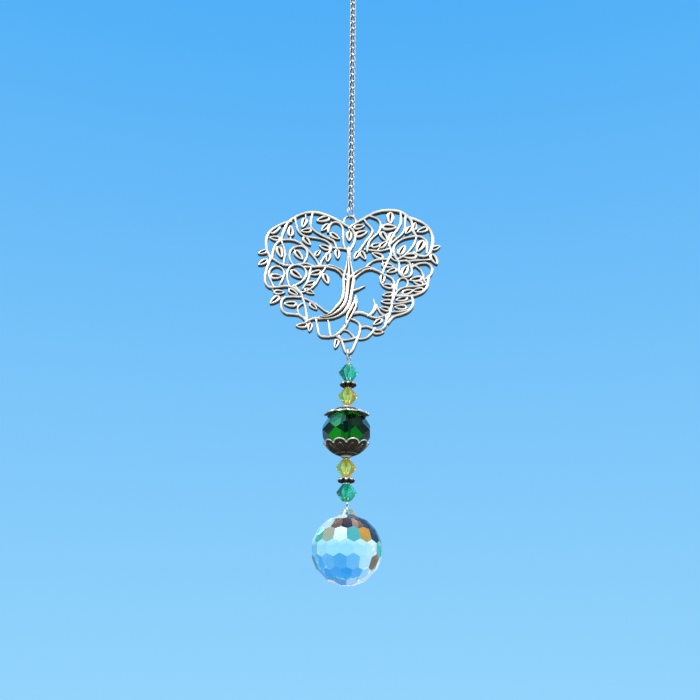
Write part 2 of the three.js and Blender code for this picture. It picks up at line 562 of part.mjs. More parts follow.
// ---------------------------------------------------------------- the suncatcher
const silver = { color: 0xc9c9c6, roughness: 0.28, metalness: 1 };
const teal = { color: 0x0f8a72, roughness: 0.04, metalness: 0 };
const peridot = { color: 0xc8d45a, roughness: 0.04, metalness: 0 };
const emerald = { color: 0x0c5a20, roughness: 0.04, metalness: 0 };
const clear = { color: 0xf2f6fa, roughness: 0.02, metalness: 0 };

const group = new THREE.Group();

function addPart(name, geometry, look) {
  const mesh = new THREE.Mesh(onlyPosition(geometry), new THREE.MeshStandardMaterial(look));
  mesh.name = name;
  group.add(mesh);
  return mesh;
}

addPart('hanging_ring', hangingRing(), silver);
const link = curbLink();
for (let i = 0; i < LINK_COUNT; i += 1) {
  const mesh = addPart(`chain_link_${String(i + 1).padStart(2, '0')}`, link, silver);
  mesh.position.z = firstLink - i * LINK_PITCH;
}
addPart('jump_ring', jumpRing(), silver);
addPart('tree_heart', treeHeart(), silver);
addPart('eye_pin', eyePin(), silver);
addPart('teal_bicone_upper', bicone(stack.tealUpper), teal);
addPart('spacer_upper', daisySpacer(stack.spacerUpper), silver);
addPart('yellow_bicone_upper', bicone(stack.yellowUpper), peridot);
addPart('bead_cap_upper', beadCap(1, CAP_ABOVE), silver);
addPart('green_bead', greenBead(), emerald);
addPart('bead_cap_lower', beadCap(-1, CAP_BELOW), silver);
addPart('yellow_bicone_lower', bicone(stack.yellowLower), peridot);
addPart('spacer_lower', daisySpacer(stack.spacerLower), silver);
addPart('teal_bicone_lower', bicone(stack.tealLower), teal);
addPart('crystal_ball', crystalBall(), clear);

export default group;
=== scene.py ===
# A hanging crystal suncatcher: ring, curb chain, cast tree-of-life heart, beads on an eye pin, crystal ball.
# Metres, +Z up, front towards -Y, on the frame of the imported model.
import math

import bpy
from mathutils import Matrix, Vector


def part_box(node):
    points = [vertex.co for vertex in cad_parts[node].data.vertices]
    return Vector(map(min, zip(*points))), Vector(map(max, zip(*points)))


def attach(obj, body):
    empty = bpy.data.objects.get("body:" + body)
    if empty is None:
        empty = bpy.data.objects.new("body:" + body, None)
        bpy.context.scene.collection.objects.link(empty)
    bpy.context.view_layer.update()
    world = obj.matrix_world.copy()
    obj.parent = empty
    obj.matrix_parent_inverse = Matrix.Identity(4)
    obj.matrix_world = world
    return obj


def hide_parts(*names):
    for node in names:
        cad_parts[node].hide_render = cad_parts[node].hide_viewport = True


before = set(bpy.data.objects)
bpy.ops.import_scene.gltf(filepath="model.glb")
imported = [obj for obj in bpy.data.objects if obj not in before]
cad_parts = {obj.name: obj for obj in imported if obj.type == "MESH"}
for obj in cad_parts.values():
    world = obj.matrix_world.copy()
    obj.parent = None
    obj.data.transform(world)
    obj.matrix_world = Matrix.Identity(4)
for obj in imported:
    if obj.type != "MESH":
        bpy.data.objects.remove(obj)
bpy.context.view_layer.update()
bpy.ops.object.select_all(action="DESELECT")

MM = 0.001

# ---------------------------------------------------------------- sizes, in millimetres
LINK_COUNT = 33
LINK_WIRE = 0.8
LINK_HALF_WIDTH = 0.72
LINK_PITCH = 2.68
LINK_PLAY = 0.06  # how much longer a link is than its pitch and wire need
LINK_TWIST = 45  # degrees that each end of a curb link is turned, one way and the other
# Where the inner side of a link's hole is painted dark as shade, where the next link passes, and how dark.
LINK_HOLE = {"half_width": 0.62, "half_height": 1.2, "tarnish": 1.4}
RING_RADIUS = 4.275  # as all radii of bent wire here, to the middle of the wire
RING_WIRE = 0.55
HANGING_TURN = 135  # degrees that the hanging ring is turned from facing the front
JUMP_RADIUS = 2.0
JUMP_WIRE = 0.5
JUMP_TURN = 60.2

HEART_SHIFT = -0.1
HEART_BELOW_JUMP = 48.0  # from the jump ring's centre down to the heart's tip
BACK = 0.95  # how far the heart's flat back lies behind its middle; the fronts are before it
VINE_FRONT = 0.95
VINE_LAP = 0.012  # vines that cross stand this much apart
STALK_FRONT = 0.72
TRUNK_FRONT = 1.05
BARK_FRONT = 1.5
BARK_LEAST = 0.66  # half width at which a trunk begins to carry bark
BARK_TARNISH = 0.7  # half width from which tarnish also darkens a trunk's front
EYE = {"x": -0.1, "height": 44.9, "radius": 1.975, "half": 0.43, "depth": 0.6}

PIN_WIRE = 0.72
PIN_EYE = 1.75
PIN_EYE_DROP = 0.05  # from the heart's tip down to the middle of the eye
NECK_DROP = 1.15  # from the crystal's top down to the middle of the hole through its neck
EDGE = {"bicone": 0.07, "bead": 0.1, "crystal": 0.08}  # how wide the cut edges are softened
DAISY = {"petals": 8, "petal": 0.66, "out": 1.86, "collar": 1.12, "collar_half": 0.36, "collar_tall": 1.7}
PETAL_SHAPE = (1.12, 0.98, 1.22)  # a petal's shares of its radius: outwards, across and up
CAP = {"scallops": 10, "inside": 7.3, "wall": 0.25, "collar": 1.08, "collar_half": 0.34}
CAP_ABOVE = {"low": 45, "high": 53, "flare": 0.9}  # degrees down to its edge, and how far that stands off
CAP_BELOW = {"low": 52, "high": 65, "flare": 0.0}


def middle(node):
    """The middle of a CAD node's box, in millimetres."""
    low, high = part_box(node)
    return (Vector(low) + Vector(high)) / (2 * MM)


HEART_TIP = middle("jump_ring").z - HEART_BELOW_JUMP


# ---------------------------------------------------------------- shader maths
class Flow:
    """A node's output that can be used in a Python expression."""

    def __init__(self, shader, socket):
        self.shader = shader
        self.socket = socket

    def _math(self, operation, a, b):
        return self.shader.node("ShaderNodeMath", {"operation": operation}, {0: a, 1: b})

    def __add__(self, other):
        return self._math("ADD", self, other)

    def __radd__(self, other):
        return self._math("ADD", other, self)

    def __sub__(self, other):
        return self._math("SUBTRACT", self, other)

    def __rsub__(self, other):
        return self._math("SUBTRACT", other, self)

    def __mul__(self, other):
        return self._math("MULTIPLY", self, other)

    def __rmul__(self, other):
        return self._math("MULTIPLY", other, self)


class Shader:
    """A material's nodes, or the air's, that end in one surface."""

    def __init__(self, owner, surface="Principled BSDF"):
        owner.use_nodes = True
        self.owner = owner
        self.tree = owner.node_tree
        self.surface = self.tree.nodes[surface]

    def feed(self, socket, value):
        """Links a node's output to a socket, or sets the socket to a plain value."""
        if isinstance(value, Flow):
            self.tree.links.new(value.socket, socket)
        else:
            socket.default_value = value

    def node(self, kind, settings=None, inputs=None, output=0):
        """A new node with its settings, such as a ramp's stops, and the values or links of its sockets."""
        made = self.tree.nodes.new(kind)
        for name, value in (settings or {}).items():
            if name == "stops":
                ramp = made.color_ramp
                while len(ramp.elements) < len(value):
                    ramp.elements.new(0.5)
                for element, (place, colour) in zip(ramp.elements, value):
                    element.position = place
                    element.color = colour
            else:
                setattr(made, name, value)
        for name, value in (inputs or {}).items():
            self.feed(made.inputs[name], value)
        return Flow(self, made.outputs[output])

    def finish(self, **inputs):
        """Feeds the surface's sockets and gives back the material or the air."""
        for name, value in inputs.items():
            self.feed(self.surface.inputs[name.replace("_", " ")], value)
        return self.owner

    def noise(self, scale, detail, roughness=0.55):
        """Clouds in the piece's own place; the scale is how many of them lie along a metre."""
        place = self.node("ShaderNodeTexCoord", output="Object")
        inputs = {"Vector": place, "Scale": scale, "Detail": detail, "Roughness": roughness}
        return self.node("ShaderNodeTexNoise", {}, inputs)

    def ramp(self, value, stops):
        """Colours along a value; a stop is a place from 0 to 1 and a colour."""
        stops = [(place, (*colour, 1.0)) for place, colour in stops]
        return self.node("ShaderNodeValToRGB", {"stops": stops}, {"Fac": value}, output="Color")

    def between(self, value, low, high, to_low=0.0, to_high=1.0):
        """The value's place from low to high, spread from to_low to to_high and held there."""
        inputs = {"Value": value, "From Min": low, "From Max": high, "To Min": to_low, "To Max": to_high}
        return self.node("ShaderNodeMapRange", {"clamp": True}, inputs)

    def blend(self, share, a, b):
        """Colour a where the share is 0 and colour b where it is 1; a colour node's sockets go by number."""
        return self.node("ShaderNodeMix", {"data_type": "RGBA"}, {0: share, 6: a, 7: b}, output=2)

    def bump(self, height, strength):
        """A normal for a surface that stands up by this height, in tenths of a millimetre."""
        return self.node("ShaderNodeBump", {}, {"Height": height, "Strength": strength, "Distance": 0.1 * MM})


def silver(name, bright, patina_and_shade_colour, shine, underside_shade):
    """Silver that is bright where it is rubbed and dark where the tarnish laid on its corners stays, with
    painted shade on faces that turn downwards; the dark colour serves both the tarnish and the painted shade.
    """
    shader = Shader(bpy.data.materials.new(name))
    # The laid attribute holds tarnish, and on strand sides, link holes and spacer undersides painted shade as
    # well.
    laid = shader.node("ShaderNodeAttribute", {"attribute_name": "tarnish"}, output="Fac")
    facing = shader.node("ShaderNodeNewGeometry", output="Normal")
    up = shader.node("ShaderNodeSeparateXYZ", {}, {"Vector": facing}, output="Z")
    # Painted shade: faces that turn downwards are painted darker, the more the further they turn.
    under = shader.between(up, -0.15, -0.75)
    cloud = shader.noise(260.0, 4.0)
    speck = shader.noise(1500.0, 3.0, 0.6)
    dark = laid + under * underside_shade + (cloud - 0.5) * 0.5 + (speck - 0.5) * 0.35
    share = shader.between(dark, 0.18, 0.85)
    dulled = (*(0.9 * part for part in bright[:3]), 1.0)
    clean = shader.blend(shader.between(cloud, 0.35, 0.7), bright, dulled)
    warm = shader.blend(shader.between(share, 0.05, 0.5), clean, WARM_TARNISH)
    colour = shader.blend(shader.between(share, 0.3, 1.0), warm, patina_and_shade_colour)
    rough = shader.between(share + (speck - 0.5) * 0.3, 0.0, 1.0, shine, PATINA_ROUGHNESS)
    normal = shader.bump(speck + cloud * 0.6, 0.16)
    return shader.finish(Base_Color=colour, Metallic=1.0, Roughness=rough, Normal=normal)


def cut_glass(name, shades, mirror, painted_glow, ripple=0.04):
    """Cut glass, clear through: each facet reads its own place on the run of shades, which drifts a little.

    The shades lay painted light, painted shade and painted reflections over the glass's own colour, facet by
    facet.
    The mirror tint sets how much its faces mirror, and the painted glow how brightly the facets glow in their
    shades, painted light, though the glass is no lamp.
    """
    shader = Shader(bpy.data.materials.new(name))
    facet = shader.node("ShaderNodeAttribute", {"attribute_name": "shade"}, output="Fac")
    drift = (shader.noise(170.0, 2.0) - 0.5) * 0.05
    stops = [(i / (len(shades) - 1), shade) for i, shade in enumerate(shades)]
    shade = shader.ramp(facet + drift, stops)
    return shader.finish(
        Base_Color=shade, Metallic=0.0, Roughness=0.012, IOR=CUT_GLASS_IOR, Specular_Tint=(*mirror, 1.0),
        Transmission_Weight=1.0, Emission_Color=shade, Emission_Strength=painted_glow,
        Normal=shader.bump(shader.noise(300.0, 2.0), ripple),
    )


WARM_TARNISH = (0.62, 0.55, 0.40, 1.0)
PATINA_ROUGHNESS = 0.62
CUT_GLASS_IOR = 1.56

# The last number of each silver is how strongly faces that turn downwards are painted dark as shade.
cast_silver = silver("antique_silver", (0.93, 0.92, 0.89, 1.0), (0.05, 0.04, 0.025, 1.0), 0.2, 0.75)
wire_silver = silver("bright_wire", (0.90, 0.90, 0.90, 1.0), (0.10, 0.095, 0.085, 1.0), 0.16, 0.45)
# Each glass has its shades from the deepest up to the lightest: its own colour, made darker and lighter from
# facet to facet as painted shade, painted light and painted reflections.
teal_glass = cut_glass(
    "teal_glass", [(0.0, 0.02, 0.005), (0.0, 0.20, 0.06), (0.005, 0.60, 0.36), (0.42, 1.0, 0.95)],
    mirror=(0.6, 0.8, 0.8), painted_glow=0.10,
)
peridot_glass = cut_glass(
    "peridot_glass", [(0.05, 0.015, 0.0), (0.60, 0.22, 0.001), (0.12, 0.30, 0.02), (0.92, 0.95, 0.36)],
    mirror=(0.7, 0.7, 0.4), painted_glow=0.16,
)
emerald_glass = cut_glass(
    "emerald_glass",
    [(0.0, 0.001, 0.001), (0.0, 0.012, 0.003), (0.03, 0.60, 0.01), (0.02, 0.17, 0.50), (0.22, 0.75, 0.95)],
    mirror=(0.05, 0.14, 0.20), painted_glow=0.10,
)
# The crystal is clear: all its shades are painted reflections, painted shade and painted glints, and its glow
# is painted light.
crystal_glass = cut_glass(
    "crystal_glass",
    [(0.002, 0.004, 0.010), (0.90, 0.20, 0.003), (0.02, 0.34, 0.22), (0.004, 0.26, 0.58), (0.42, 0.80, 0.82),
     (1.0, 1.0, 1.0)],
    mirror=(0.5, 0.5, 0.5), painted_glow=0.14, ripple=0.02,
)


# ---------------------------------------------------------------- making pieces
class Casting:
    """Gathers the skins of one cast piece: its corners, faces and how dark each corner is laid, by tarnish
    and by painted shade.
    """

    def __init__(self):
        self.corners = []
        self.faces = []
        self.tarnish = []

    def skin(self, rings, tarnish, loop=False):
        """Skins a run of rings; the tarnish and painted shade has one value for each corner of a ring, or a
        list for each ring.
        """
        first = len(self.corners)
        sides = len(rings[0])
        count = len(rings)
        for i, ring in enumerate(rings):
            self.corners.extend(ring)
            self.tarnish.extend(tarnish[i] if isinstance(tarnish[0], (list, tuple)) else tarnish)
        for i in range(count if loop else count - 1):
            a = first + i * sides
            b = first + (i + 1) % count * sides
            for j in range(sides):
                k = (j + 1) % sides
                self.faces.append((a + j, a + k, b + k, b + j))
        if not loop:
            end = first + (count - 1) * sides
            self.faces.append(tuple(first + j for j in reversed(range(sides))))
            self.faces.append(tuple(end + j for j in range(sides)))

    def piece(self, name, move=(0.0, 0.0, 0.0)):
        """The cast piece itself, moved to its place."""
        mesh = bpy.data.meshes.new(name)
        places = [(Vector(corner) + Vector(move)) * MM for corner in self.corners]
        mesh.from_pydata(places, [], self.faces)
        layer = mesh.attributes.new("tarnish", "FLOAT", "POINT")
        layer.data.foreach_set("value", self.tarnish)
        piece = bpy.data.objects.new(name, mesh)
        bpy.context.collection.objects.link(piece)
        return piece


def only(piece):
    """Leaves this one piece selected and active."""
    bpy.ops.object.select_all(action="DESELECT")
    piece.select_set(True)
    bpy.context.view_layer.objects.active = piece


def outward(piece):
    """Turns every face of a piece to the outside."""
    only(piece)
    bpy.ops.object.mode_set(mode="EDIT")
    bpy.ops.mesh.select_all(action="SELECT")
    bpy.ops.mesh.normals_make_consistent(inside=False)
    bpy.ops.object.mode_set(mode="OBJECT")


def settle(piece):
    """Puts a piece's place into its mesh."""
    only(piece)
    bpy.ops.object.transform_apply(location=True, rotation=True, scale=True)


def apply(piece, kind, **settings):
    """Puts a modifier on a piece and applies it."""
    only(piece)
    modifier = piece.modifiers.new(kind.lower(), kind)
    for name, value in settings.items():
        setattr(modifier, name, value)
    bpy.ops.object.modifier_apply(modifier=modifier.name)


def join(name, pieces):
    """Makes one piece of several, under a name."""
    bpy.ops.object.select_all(action="DESELECT")
    for piece in pieces:
        piece.select_set(True)
    bpy.context.view_layer.objects.active = pieces[0]
    bpy.ops.object.join()
    pieces[0].name = name
    pieces[0].data.name = name
    return pieces[0]


def tarnish(piece, amount):
    """Gives every corner the same tarnish, or what amount(corner in millimetres) says; on some pieces the
    amount is painted shade as well.
    """
    mesh = piece.data
    layer = mesh.attributes.get("tarnish") or mesh.attributes.new("tarnish", "FLOAT", "POINT")
    values = [amount(v.co / MM) if callable(amount) else amount for v in mesh.vertices]
    layer.data.foreach_set("value", values)


def dress(piece, material, node, smooth):
    """Gives a finished piece its material and its body, and hides the CAD node that it stands for.

    Edges sharper than smooth, in degrees, stay sharp, and at 0 the piece keeps all its facets.
    """
    piece.data.materials.clear()
    piece.data.materials.append(material)
    only(piece)
    if smooth:
        bpy.ops.object.shade_smooth_by_angle(angle=math.radians(smooth))
    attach(piece, "root")
    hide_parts(node)


def wire(name, points, thickness, loop=False, sides=2):
    """A round wire through points, in millimetres, closed on itself where it is a loop."""
    bpy.ops.object.select_all(action="DESELECT")
    bpy.ops.curve.primitive_nurbs_path_add(location=(0, 0, 0))
    made = bpy.context.object
    curve = made.data
    curve.splines.clear()
    run = curve.splines.new("POLY")
    run.points.add(len(points) - 1)
    for place, point in zip(run.points, points):
        place.co = (*(point * MM), 1.0)
    run.use_cyclic_u = loop
    curve.dimensions = "3D"
    curve.bevel_depth = thickness / 2 * MM
    curve.bevel_resolution = sides
    curve.use_fill_caps = not loop
    curve.twist_mode = "MINIMUM"
    bpy.ops.object.convert(target="MESH")
    made = bpy.context.object
    made.name = name
    made.data.name = name
    apply(made, "WELD", merge_threshold=1e-7)
    outward(made)
    return made


def smooth_run(points, steps):
    """More points along a rounded line through the given ones."""
    run = []
    for i in range(len(points) - 1):
        a = points[max(i - 1, 0)]
        b, c = points[i], points[i + 1]
        d = points[min(i + 2, len(points) - 1)]
        for s in range(steps):
            t = s / steps
            part = 2 * b + (c - a) * t + (2 * a - 5 * b + 4 * c - d) * t * t
            part += (3 * b - a - 3 * c + d) * t ** 3
            run.append(part / 2)
    run.append(points[-1])
    return run


# ---------------------------------------------------------------- hanging ring, chain, jump ring
def wire_ring(name, centre, radius, thickness, turn):
    """A ring of wire that stands upright, turned from facing the front by some degrees."""
    way = Vector((math.cos(math.radians(turn)), math.sin(math.radians(turn)), 0.0))
    points = []
    for i in range(48):
        t = 2 * math.pi * i / 48
        points.append(centre + way * radius * math.cos(t) + Vector((0, 0, radius * math.sin(t))))
    return wire(name, points, thickness, loop=True, sides=3)


def link_points(centre):
    """The path of a curb link: a long round, twisted one way above its middle and the other way below."""
    half_height = (LINK_PITCH + LINK_WIRE + LINK_PLAY) / 2
    points = []
    for i in range(28):
        t = 2 * math.pi * i / 28
        turn = math.radians(LINK_TWIST) * math.sin(t)
        out, up = LINK_HALF_WIDTH * math.cos(t), half_height * math.sin(t)
        points.append(centre + Vector((out * math.cos(turn), out * math.sin(turn), up)))
    return points


def curb_link(node, name):
    """One link, bright outside, with painted shade on the inner side of its hole."""
    centre = middle(node)
    link = wire(name, link_points(centre), LINK_WIRE, loop=True)

    def patina_and_painted_shade(corner):
        # Painted shade: corners on the inner side of the hole are painted dark.
        aside, away = abs(corner.x), abs(corner.z - centre.z)
        inner = aside < LINK_HOLE["half_width"] and away < LINK_HOLE["half_height"]
        return LINK_HOLE["tarnish"] if inner else 0.0

    tarnish(link, patina_and_painted_shade)
    dress(link, wire_silver, node, smooth=60)


ring = wire_ring("hanging_ring_wire", middle("hanging_ring"), RING_RADIUS, RING_WIRE, HANGING_TURN)
tarnish(ring, 0.08)
dress(ring, wire_silver, "hanging_ring", smooth=60)

for number in range(1, LINK_COUNT + 1):
    curb_link(f"chain_link_{number:02d}", f"curb_{number:02d}")

ring = wire_ring("jump_ring_wire", middle("jump_ring"), JUMP_RADIUS, JUMP_WIRE, JUMP_TURN)
tarnish(ring, 0.3)
dress(ring, wire_silver, "jump_ring", smooth=60)

# ---------------------------------------------------------------- the heart's growth
# The heart is drawn in its own frame, in millimetres: x to the right and z up from its tip.
# A vine is [width, [x, z, heading], ...]: it runs through each place at that heading in degrees.
# A fourth number is the width at that place, for a vine that swells or tapers.
RIM = [
    [1.1, [0.2, 42.5, 150], [-6.4, 46.3, 155], [-12.4, 47.9, 180], [-18.1, 46, 218], [-20.8, 43, 250],
      [-22.2, 38, 265]],
    [1.1, [-19.3, 44.6, 185], [-24.3, 42.3, 212], [-27, 38, 268], [-26.7, 34.6, 285], [-25.3, 31.2, 278]],
    [1.05, [-25.3, 31.8, 262], [-26.6, 27.5, 258], [-26.8, 23.8, 283], [-24.7, 21.5, 357],
      [-20.3, 22.1, 2], [-16.8, 21, 325], [-15, 19.2, 310]],
    [1.0, [-14.9, 18.4, 180], [-19.6, 18.4, 190], [-21.5, 16, 270], [-19.3, 12.8, 350], [-15.8, 12.5, 345],
      [-13.3, 10.4, 318]],
    [1.1, [-0.2, 42.5, 45], [2.6, 44.8, 28], [7.9, 48, 22], [12.7, 48.9, 0], [17, 48, -30],
      [19.8, 45.4, -62], [20.3, 42.2, -80], [21.4, 39.8, -50]],
    [1.1, [18.6, 46.6, -20], [23.4, 44.6, -28], [26.1, 41.6, -65], [26.6, 38, -92], [25.9, 34.6, -108],
      [23.4, 32.8, 180], [20.8, 34, 140]],
    [1.0, [20.2, 29.2, 45], [24, 30.5, 0], [26.3, 28.2, -90], [24.5, 25.2, -140]],
    [1.05, [25.3, 26.2, -115], [24.7, 22.8, -108], [22.2, 20, -155], [19, 19.1, 180], [13.9, 19.4, 170]],
    [1.05, [19.7, 19.2, -75], [20, 16.4, -102], [18, 13.7, -150], [14.8, 12.6, -165], [12.3, 10.2, -122]],
]
TRUNK = [
    [1.2, [-0.3, 35.4, 270], [-0.3, 29.5, 270, 1.9], [-0.2, 25.2, 268, 4.1], [-0.6, 19.5, 262, 3.9],
      [-2.7, 14.4, 228, 4], [-6.9, 11.7, 190, 1.8], [-11.3, 11.3, 185, 1.2], [-13.7, 9.9, 205, 0.9]],
    [0.5, [2.1, 19.2, 262], [1.6, 15.6, 252, 2.3], [0, 12.4, 238, 2.3], [-0.7, 10.2, 262, 1.4],
      [-1.9, 7.8, 228, 1.2], [-4.8, 5.6, 195, 1.2], [-8.1, 5.3, 172, 1], [-9.7, 7.2, 95, 0.9],
      [-10.3, 10.9, 100, 0.9]],
    [2.4, [-0.9, 24.6, 120], [-4.5, 28.3, 160, 1.5], [-8.9, 29, 182, 1.3], [-14.3, 28.7, 170, 1]],
    [2.4, [0.6, 24.6, 60], [4.2, 27.8, 28, 1.6], [7.3, 28.3, -8, 1.2], [10.5, 26.6, -32, 1]],
    [1.6, [0.6, 20.4, 22], [4.8, 22.3, 25, 0.5]],
]
CROWN_LEFT = [
    [0.9, [-12.2, 47.6, 258], [-12.9, 43.5, 278], [-10.7, 40.7, 325], [-5.7, 38.1, 335], [-4.2, 35, 290]],
    [0.9, [-17.8, 45.8, 272], [-17, 41.8, 290], [-13.5, 39.1, 350], [-8.1, 38, 332], [-6, 35.2, 262],
      [-8.3, 32, 232], [-9.5, 29.2, 260]],
    [0.95, [-24.8, 31.8, 92], [-23.1, 37.2, 42], [-19.3, 38.1, -3], [-14.8, 36, -45], [-10.7, 31.2, -55],
      [-9.7, 29.2, -70]],
    [0.9, [-25.3, 31.8, -30], [-20.4, 29.1, -8], [-14.8, 29.9, 10], [-11.5, 29, -20]],
    [0.85, [-18.1, 29.4, 130], [-19.3, 33.4, 82], [-16.3, 35.9, 5], [-13.6, 33.2, -90],
      [-14.8, 29.8, -120]],
    [0.8, [-21.2, 29.2, 95], [-20.7, 33, 88], [-22.1, 37.8, 112]],
    [0.9, [-7.2, 41, 85], [-4.8, 44.5, 0], [-2.3, 41.6, -90], [-2.1, 37, -88], [-0.5, 34.2, -55]],
    [0.95, [-0.3, 33.6, 75], [1.7, 39.2, 92], [0.1, 42.6, 140]],
    [0.9, [-0.4, 34.8, 165], [-4.4, 35.3, 182], [-6.1, 35.6, 175]],
    [0.85, [-24, 21.6, 95], [-25.7, 25.6, 98], [-23.3, 28.8, 0], [-20.8, 26.2, -90], [-22.2, 22.2, -110]],
    [0.85, [-19.2, 22, 105], [-19.9, 26.6, 85], [-16.8, 29.4, 0], [-13.8, 26.6, -90], [-15.4, 23.4, -140],
      [-17.8, 22, -150]],
    [1, [-17.4, 22.4, -50], [-15.1, 19.2, -68], [-13.7, 14.5, -80], [-13.3, 10.4, -92]],
    [0.7, [-14.3, 16.4, 200], [-16.3, 14.5, 262], [-15.7, 12.6, 290]],
    [0.8, [-14.8, 18.2, -22], [-10.8, 16.3, -30], [-8, 14.1, -40], [-5.7, 13.1, -5], [-3.1, 13.7, 20]],
    [0.8, [-7.7, 28.6, -115], [-9.7, 24.9, -108], [-11.5, 21.9, -135], [-15.2, 20, -175]],
    [0.8, [-12.3, 28.6, -112], [-12.8, 25.3, -98], [-14.8, 21.2, -120]],
]
CROWN_RIGHT = [
    [0.9, [4.4, 45.8, -70], [6.5, 43, -48], [7.2, 41.1, -100], [5.1, 37.9, -122], [2.8, 34, -120]],
    [0.9, [5.9, 46.9, -15], [8.5, 46, -30], [9.9, 43.4, -92], [8.8, 40.6, -130], [6.1, 37.6, -108],
      [5.5, 34.4, -85]],
    [0.95, [16.4, 48, -88], [16.4, 44.4, -95], [14.2, 40.6, -118], [12.6, 37, -105], [13.3, 34.4, -82],
      [12.3, 31.4, -108], [10.9, 28.2, -112], [10.2, 26.4, -120]],
    [0.9, [18, 47, -92], [17.7, 42.6, -95], [16, 39.8, -135], [12.5, 36.4, -130]],
    [0.95, [24.5, 34, 92], [24.8, 37.4, 95], [22.4, 39.7, 165], [18.4, 39.3, 192], [14.3, 36.4, 240],
      [14.1, 33.7, 280], [15.7, 30.8, 302], [15.6, 27.8, 275], [17.7, 25.6, -5], [19.8, 27.3, 85],
      [19, 30.6, 115], [15.8, 31, 180]],
    [0.85, [21.5, 39.8, -105], [20, 36, -125], [17.4, 33, -142], [15.2, 31.6, -150]],
    [0.85, [18.4, 30.9, 10], [21.8, 31.4, 0], [25.7, 31.7, 5]],
    [0.85, [20.1, 30, -40], [22.7, 28, -62], [23.5, 25.2, -95], [24.4, 23.4, -60]],
    [0.9, [4.8, 28.3, 55], [7.3, 30.9, 30], [12.1, 31.6, 0]],
    [0.9, [4.8, 35, -20], [8.7, 34.5, -8], [12.7, 35.4, 25]],
    [1, [10.1, 26.6, -15], [13.1, 25.4, -35], [14.2, 22.8, -92], [13.7, 18.5, -95], [13.1, 14.5, -102],
      [11.9, 11, -110]],
    [0.9, [13.6, 17, 80], [15, 20.6, 52], [18, 22.3, 12], [21.4, 22.4, 5], [24.4, 23.6, 40]],
    [0.8, [15, 20.8, 128], [15.3, 23.8, 80], [17, 25.2, 0], [18.5, 23.8, -85], [18.1, 22.2, -110]],
    [0.8, [13.4, 16.3, 5], [17, 16.8, 10], [19.8, 17.6, 20]],
    [0.75, [12.9, 13.6, 15], [16.2, 13.9, 2], [19.2, 14.9, 30]],
    [0.8, [8.7, 16, -82], [9.6, 13.7, -60], [12.3, 12.2, -10]],
]
ROOTS = [
    [1.6, [1.4, 13.2, 20], [4.2, 13.3, -10, 1.2], [7.1, 12, -22, 1], [9.2, 11.8, 15, 0.9],
      [12.3, 13.2, 30, 0.9]],
    [1, [3.4, 8.4, 25], [6.1, 8.8, -15], [8.8, 7.7, 0], [11.3, 9.3, 72], [11.5, 12.4, 108]],
    [1, [0.8, 11.2, -15], [3.4, 9.2, -80], [3.1, 6.2, -108], [1.8, 2.7, -112], [-0.3, 0, 180]],
    [1, [6, 12.4, 30], [8.1, 15.1, 80, 1.4], [7.6, 18, 106, 0.3]],
    [0.9, [2.8, 4.8, -10], [6.1, 5.6, 38], [8.1, 8.4, 62]],
    [1, [-3, 5.6, -55], [-1.8, 2.7, -76], [-0.1, 0, -10]],
    [0.9, [-3.8, 5.6, -48], [-1.2, 4.3, 0], [2.7, 5.4, 20]],
    [0.8, [-3.4, 6.2, 40], [-1.2, 7.6, -5], [1.8, 5, -52]],
    [0.8, [-6.7, 11.3, -80], [-6.2, 8, -90], [-5.7, 5.4, -80]],
]
